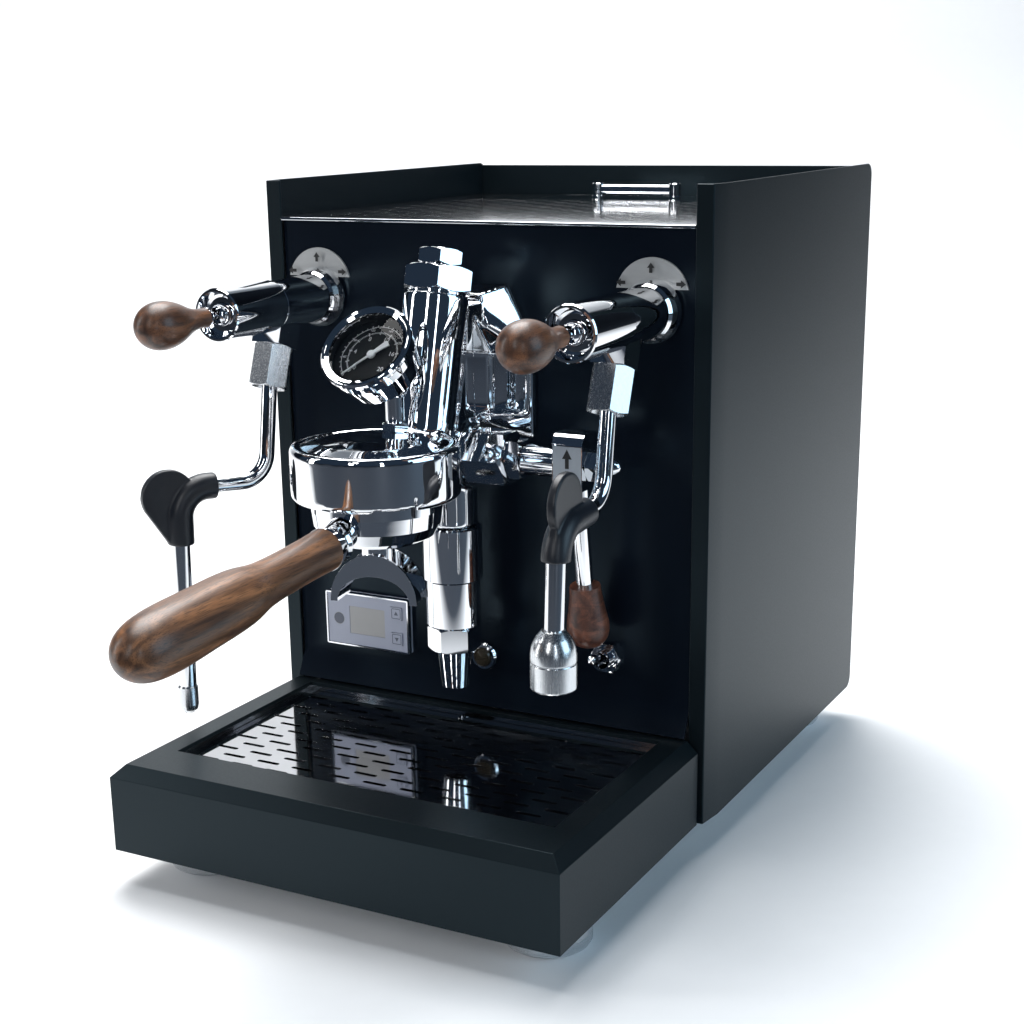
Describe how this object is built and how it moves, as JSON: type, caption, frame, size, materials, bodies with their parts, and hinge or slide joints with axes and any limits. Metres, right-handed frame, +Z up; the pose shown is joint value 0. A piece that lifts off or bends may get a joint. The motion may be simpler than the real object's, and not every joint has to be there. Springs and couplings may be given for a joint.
{
  "type": "espresso machine",
  "caption": "Lever espresso machine with exposed chromed brew group, portafilter, pressure gauge, joystick steam and hot water valves, swivelling wands, drip tray and cup deck.",
  "frame": {"origin": "centre of the whole machine's footprint box, on the surface it stands on", "axes": "+X to the user's right, +Y to the back of the machine, away from the portafilter's handle, +Z up"},
  "size_m": [0.3018, 0.6044, 0.385],
  "materials": {
    "case_black": "satin",
    "steel": "brushed",
    "polished_steel": "polished",
    "chrome": "polished",
    "brass": "satin",
    "walnut": "oiled satin",
    "rubber": "satin",
    "black_plastic": "matte",
    "dial_black": "satin",
    "white_plastic": "gloss",
    "clear_plastic": "clear",
    "glass": "clear",
    "display_grey": "satin"
  },
  "bodies": {
    "root": {"base_frame": "steel", "left_side_panel": "case_black", "right_side_panel": "case_black", "front_panel": "case_black", "back_panel": "case_black", "cup_tray": "polished_steel", "feet": "steel", "group_casting": "chrome", "group_gasket": "rubber", "shower_screen": "steel", "chamber_caps": "chrome", "lever_gland": "chrome", "infusion_chamber": "chrome", "discharge_nozzle": "chrome", "gauge_case": "chrome", "gauge_dial": "dial_black", "gauge_glass": "glass", "gauge_stem": "chrome", "dial_plates": "steel", "valve_bodies": "chrome", "wand_nuts": "steel", "display_case": "chrome", "display_window": "display_grey", "pilot_lamp_ring": "chrome", "pilot_lamp": "black_plastic", "toggle_switch": "chrome", "boiler": "brass", "inner_brackets": "steel", "pump": "black_plastic", "control_box": "black_plastic", "power_inlet": "black_plastic"},
    "drip_tray": {"drip_tray": "case_black", "drip_pan": "steel"},
    "drip_grid": {"drip_grid": "polished_steel"},
    "water_tank": {"water_tank": "clear_plastic"},
    "reservoir_lid": {"reservoir_lid": "polished_steel"},
    "brew_lever": {"brew_lever": "chrome", "lever_knob": "walnut"},
    "portafilter": {"portafilter_body": "chrome", "portafilter_handle": "walnut", "filter_basket": "polished_steel", "double_spout": "chrome"},
    "gauge_needle": {"gauge_needle": "white_plastic"},
    "steam_joystick_ball": {"steam_joystick_ball": "chrome"},
    "steam_joystick": {"steam_joystick": "chrome", "steam_knob": "walnut"},
    "water_joystick_ball": {"water_joystick_ball": "chrome"},
    "water_joystick": {"water_joystick": "chrome", "water_knob": "walnut"},
    "steam_wand_seat": {"steam_wand_seat": "white_plastic"},
    "steam_wand": {"steam_wand": "polished_steel", "steam_wand_grip": "rubber", "steam_tip": "polished_steel"},
    "water_wand_seat": {"water_wand_seat": "white_plastic"},
    "water_wand": {"water_wand": "polished_steel", "water_wand_grip": "rubber", "water_nozzle": "steel"},
    "display_button_up": {"display_button_up": "display_grey"},
    "display_button_down": {"display_button_down": "display_grey"},
    "toggle_lever": {"toggle_lever": "chrome"}
  },
  "joints": [
    {"name": "drip_tray_slide", "type": "slide", "parent": "root", "child": "drip_tray", "axis": [0, -1, 0], "range_m": [0, 0.16]},
    {"name": "drip_grid_lift", "type": "slide", "parent": "drip_tray", "child": "drip_grid", "axis": [0, 0, 1], "range_m": [0, 0.02]},
    {"name": "water_tank_lift", "type": "slide", "parent": "root", "child": "water_tank", "axis": [0, 0, 1], "range_m": [0, 0.32]},
    {"name": "reservoir_lid_lift", "type": "slide", "parent": "water_tank", "child": "reservoir_lid", "axis": [0, 0, 1], "range_m": [0, 0.06]},
    {"name": "brew_lever_turn", "type": "hinge", "parent": "root", "child": "brew_lever", "pos_m": [0.00411, -0.01375, 0.237], "axis": [-1, 0, 0], "range_deg": [0, 95]},
    {"name": "portafilter_lock", "type": "hinge", "parent": "root", "child": "portafilter", "pos_m": [0.00411, -0.08976, 0.235], "axis": [0, 0, -1], "range_deg": [0, 45]},
    {"name": "gauge_needle_turn", "type": "hinge", "parent": "root", "child": "gauge_needle", "pos_m": [0.00411, -0.09576, 0.308], "axis": [0, 0.7373, -0.6756], "range_deg": [0, 270], "stiffness_Nm_per_rad": 0.002},
    {"name": "steam_joystick_sideways", "type": "hinge", "parent": "root", "child": "steam_joystick_ball", "pos_m": [-0.10489, -0.07276, 0.317], "axis": [0, 0, 1], "range_deg": [-12, 12], "stiffness_Nm_per_rad": 0.5},
    {"name": "steam_joystick_up", "type": "hinge", "parent": "steam_joystick_ball", "child": "steam_joystick", "pos_m": [-0.10489, -0.07276, 0.317], "axis": [-1, 0, 0], "range_deg": [0, 12], "stiffness_Nm_per_rad": 0.5},
    {"name": "water_joystick_sideways", "type": "hinge", "parent": "root", "child": "water_joystick_ball", "pos_m": [0.11311, -0.07276, 0.317], "axis": [0, 0, 1], "range_deg": [-12, 12], "stiffness_Nm_per_rad": 0.5},
    {"name": "water_joystick_up", "type": "hinge", "parent": "water_joystick_ball", "child": "water_joystick", "pos_m": [0.11311, -0.07276, 0.317], "axis": [-1, 0, 0], "range_deg": [0, 12], "stiffness_Nm_per_rad": 0.5},
    {"name": "steam_wand_swivel", "type": "hinge", "parent": "root", "child": "steam_wand_seat", "pos_m": [-0.10489, -0.03076, 0.277], "axis": [0, 0, 1], "range_deg": [-50, 40]},
    {"name": "steam_wand_tilt", "type": "hinge", "parent": "steam_wand_seat", "child": "steam_wand", "pos_m": [-0.10489, -0.03076, 0.277], "axis": [-0.848, 0.5299, 0], "range_deg": [-3, 10]},
    {"name": "water_wand_swivel", "type": "hinge", "parent": "root", "child": "water_wand_seat", "pos_m": [0.11311, -0.03076, 0.277], "axis": [0, 0, 1], "range_deg": [-5, 60]},
    {"name": "water_wand_tilt", "type": "hinge", "parent": "water_wand_seat", "child": "water_wand", "pos_m": [0.11311, -0.03076, 0.277], "axis": [-1, 0, 0], "range_deg": [-5, 10]},
    {"name": "display_button_up_press", "type": "slide", "parent": "root", "child": "display_button_up", "axis": [0, 1, 0], "range_m": [0, 0.0008], "stiffness_N_per_m": 400},
    {"name": "display_button_down_press", "type": "slide", "parent": "root", "child": "display_button_down", "axis": [0, 1, 0], "range_m": [0, 0.0008], "stiffness_N_per_m": 400},
    {"name": "toggle_flip", "type": "hinge", "parent": "root", "child": "toggle_lever", "pos_m": [0.08611, 0.02565, 0.114], "axis": [1, 0, 0], "range_deg": [0, 22]}
  ]
}
